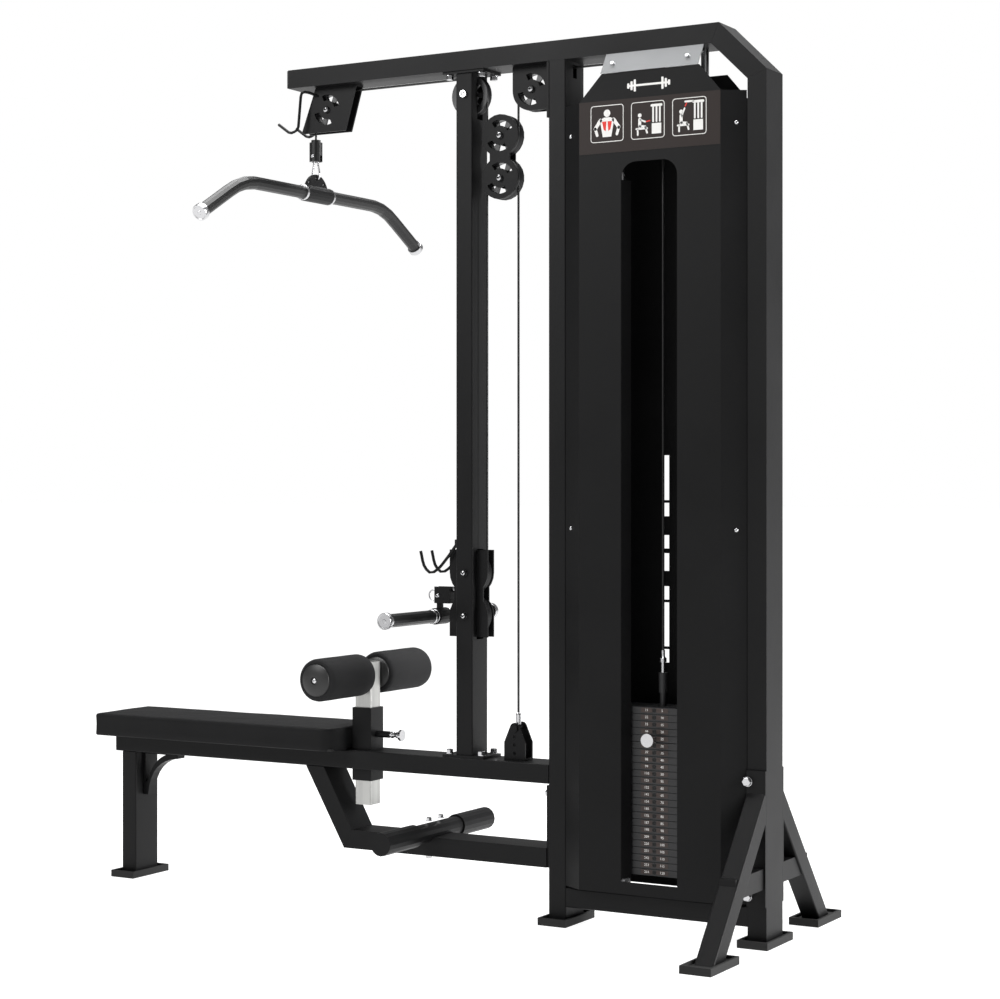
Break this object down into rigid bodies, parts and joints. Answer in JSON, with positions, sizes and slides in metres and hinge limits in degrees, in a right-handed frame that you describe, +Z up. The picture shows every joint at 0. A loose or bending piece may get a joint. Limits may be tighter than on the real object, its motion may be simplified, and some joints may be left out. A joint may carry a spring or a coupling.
{
  "type": "lat pulldown and low row machine",
  "caption": "Lat pulldown and low row gym machine: covered weight stack, cable and pulleys, bent lat bar, row handle, padded seat, knee rollers and footrest.",
  "frame": {"origin": "on the floor, under the middle of the machine", "axes": "+Z up, +X from the seat towards the weight tower, Y across the machine"},
  "size_m": [2.052, 1.0552, 2.252],
  "materials": {
    "powder_coat": "powder-coated, fine texture",
    "rubber": "matte",
    "chrome": "polished",
    "zinc": "satin",
    "grey_plate": "satin",
    "vinyl": "fine grain",
    "foam": "matte",
    "iron": "painted",
    "nylon": "moulded",
    "cable": "smooth"
  },
  "bodies": {
    "root": {"left_post": "powder_coat", "right_post": "powder_coat", "corner_beam": "powder_coat", "top_beam": "powder_coat", "base_beam": "powder_coat", "middle_column": "powder_coat", "seat_beam": "powder_coat", "seat_leg": "powder_coat", "seat_leg_strap": "powder_coat", "diagonal_brace": "powder_coat", "low_beam": "powder_coat", "foot_left_post": "rubber", "foot_right_post": "rubber", "foot_seat_leg": "rubber", "foot_near_stabiliser": "rubber", "foot_far_stabiliser": "rubber", "near_stabiliser": "powder_coat", "far_stabiliser": "powder_coat", "front_bracket": "powder_coat", "column_axle": "chrome", "tower_bracket": "powder_coat", "stack_pulley_bracket": "powder_coat", "low_bracket": "powder_coat", "row_hooks": "powder_coat", "cable_over_beam": "cable", "cable_into_tower": "cable", "cable_anchor": "powder_coat", "seat_pad": "vinyl", "knee_sleeve": "powder_coat", "footrest": "powder_coat", "front_cover": "powder_coat", "rear_cover": "powder_coat", "tower_top_plate": "grey_plate", "guide_rods": "chrome", "resting_plates": "iron"},
    "lat_hanger_body": {"lat_hanger": "powder_coat", "lat_cable_stop": "rubber", "lat_cable": "cable"},
    "lat_bar_body": {"lat_bar": "rubber"},
    "front_pulley_body": {"front_pulley": "nylon"},
    "column_pulley_body": {"column_pulley": "nylon"},
    "tower_pulley_body": {"tower_pulley": "nylon"},
    "stack_pulley_body": {"stack_pulley": "nylon"},
    "block_body": {"block_frame": "powder_coat", "block_cable": "cable", "low_cable": "cable"},
    "block_upper_pulley_body": {"block_upper_pulley": "nylon"},
    "block_lower_pulley_body": {"block_lower_pulley": "nylon"},
    "low_upper_pulley_body": {"low_upper_pulley": "nylon"},
    "low_lower_pulley_body": {"low_lower_pulley": "nylon"},
    "row_body": {"row_hanger": "powder_coat", "row_cable": "cable"},
    "row_handle_body": {"row_handle": "rubber"},
    "stack_body": {"lifted_plates": "iron", "stack_cable": "cable"},
    "selector_body": {"selector_pin": "chrome"},
    "knee_body": {"knee_post": "zinc"},
    "near_roller_body": {"near_roller": "foam"},
    "far_roller_body": {"far_roller": "foam"},
    "knee_pin_body": {"knee_pin": "chrome"}
  },
  "joints": [
    {"name": "lat_pull", "type": "slide", "parent": "root", "child": "lat_hanger_body", "axis": [0, 0, -1], "range_m": [0, 1.05], "deforming": ["lat_cable"]},
    {"name": "lat_bar_turn", "type": "hinge", "parent": "lat_hanger_body", "child": "lat_bar_body", "pos_m": [-0.344, 0, 1.914], "axis": [0, 1, 0], "continuous": true},
    {"name": "front_pulley_spin", "type": "hinge", "parent": "root", "child": "front_pulley_body", "pos_m": [-0.297, 0, 2.141], "axis": [0, 1, 0], "continuous": true},
    {"name": "column_pulley_spin", "type": "hinge", "parent": "root", "child": "column_pulley_body", "pos_m": [0.153, 0, 2.141], "axis": [0, 1, 0], "continuous": true},
    {"name": "tower_pulley_spin", "type": "hinge", "parent": "root", "child": "tower_pulley_body", "pos_m": [0.341, 0, 2.141], "axis": [0, 1, 0], "continuous": true},
    {"name": "stack_pulley_spin", "type": "hinge", "parent": "root", "child": "stack_pulley_body", "pos_m": [0.663, 0, 2.141], "axis": [0, 1, 0], "continuous": true},
    {"name": "stack_lift", "type": "slide", "parent": "root", "child": "stack_body", "axis": [0, 0, 1], "range_m": [0, 1.05], "deforming": ["stack_cable"]},
    {"name": "selector_pull", "type": "slide", "parent": "stack_body", "child": "selector_body", "axis": [0, -1, 0], "range_m": [0, 0.05]},
    {"name": "row_pull", "type": "slide", "parent": "root", "child": "row_body", "axis": [-1, 0, 0], "range_m": [0, 0.8], "deforming": ["row_cable"]},
    {"name": "row_handle_turn", "type": "hinge", "parent": "row_body", "child": "row_handle_body", "pos_m": [0.055, 0, 0.772], "axis": [0, 1, 0], "continuous": true},
    {"name": "block_drop", "type": "slide", "parent": "root", "child": "block_body", "axis": [0, 0, -1], "range_m": [0, 0.4], "deforming": ["block_cable", "low_cable"]},
    {"name": "block_upper_spin", "type": "hinge", "parent": "block_body", "child": "block_upper_pulley_body", "pos_m": [0.247, 0, 2.029], "axis": [0, 1, 0], "continuous": true},
    {"name": "block_lower_spin", "type": "hinge", "parent": "block_body", "child": "block_lower_pulley_body", "pos_m": [0.247, 0, 1.918], "axis": [0, 1, 0], "continuous": true},
    {"name": "low_upper_spin", "type": "hinge", "parent": "root", "child": "low_upper_pulley_body", "pos_m": [0.153, 0, 0.889], "axis": [0, 1, 0], "continuous": true},
    {"name": "low_lower_spin", "type": "hinge", "parent": "root", "child": "low_lower_pulley_body", "pos_m": [0.153, 0, 0.777], "axis": [0, 1, 0], "continuous": true},
    {"name": "knee_height", "type": "slide", "parent": "root", "child": "knee_body", "axis": [0, 0, 1], "range_m": [-0.04, 0.12]},
    {"name": "near_roller_spin", "type": "hinge", "parent": "knee_body", "child": "near_roller_body", "pos_m": [-0.174, 0, 0.609], "axis": [0, 1, 0], "continuous": true},
    {"name": "far_roller_spin", "type": "hinge", "parent": "knee_body", "child": "far_roller_body", "pos_m": [-0.174, 0, 0.609], "axis": [0, 1, 0], "continuous": true},
    {"name": "knee_pin_pull", "type": "slide", "parent": "root", "child": "knee_pin_body", "axis": [1, 0, 0], "range_m": [0, 0.012], "stiffness_N_per_m": 800, "springref_m": -0.003}
  ],
  "couplings": [
    {"joint": "stack_lift", "follows": "lat_pull", "ratio": 1},
    {"joint": "front_pulley_spin", "follows": "lat_pull", "rad_per_m": -21.277},
    {"joint": "column_pulley_spin", "follows": "lat_pull", "rad_per_m": -21.277},
    {"joint": "tower_pulley_spin", "follows": "lat_pull", "rad_per_m": -21.277},
    {"joint": "stack_pulley_spin", "follows": "lat_pull", "rad_per_m": -21.277},
    {"joint": "block_upper_spin", "follows": "lat_pull", "rad_per_m": 21.277},
    {"joint": "block_drop", "follows": "row_pull", "ratio": 0.5},
    {"joint": "low_upper_spin", "follows": "row_pull", "rad_per_m": 21.277},
    {"joint": "block_lower_spin", "follows": "row_pull", "rad_per_m": -10.638}
  ]
}
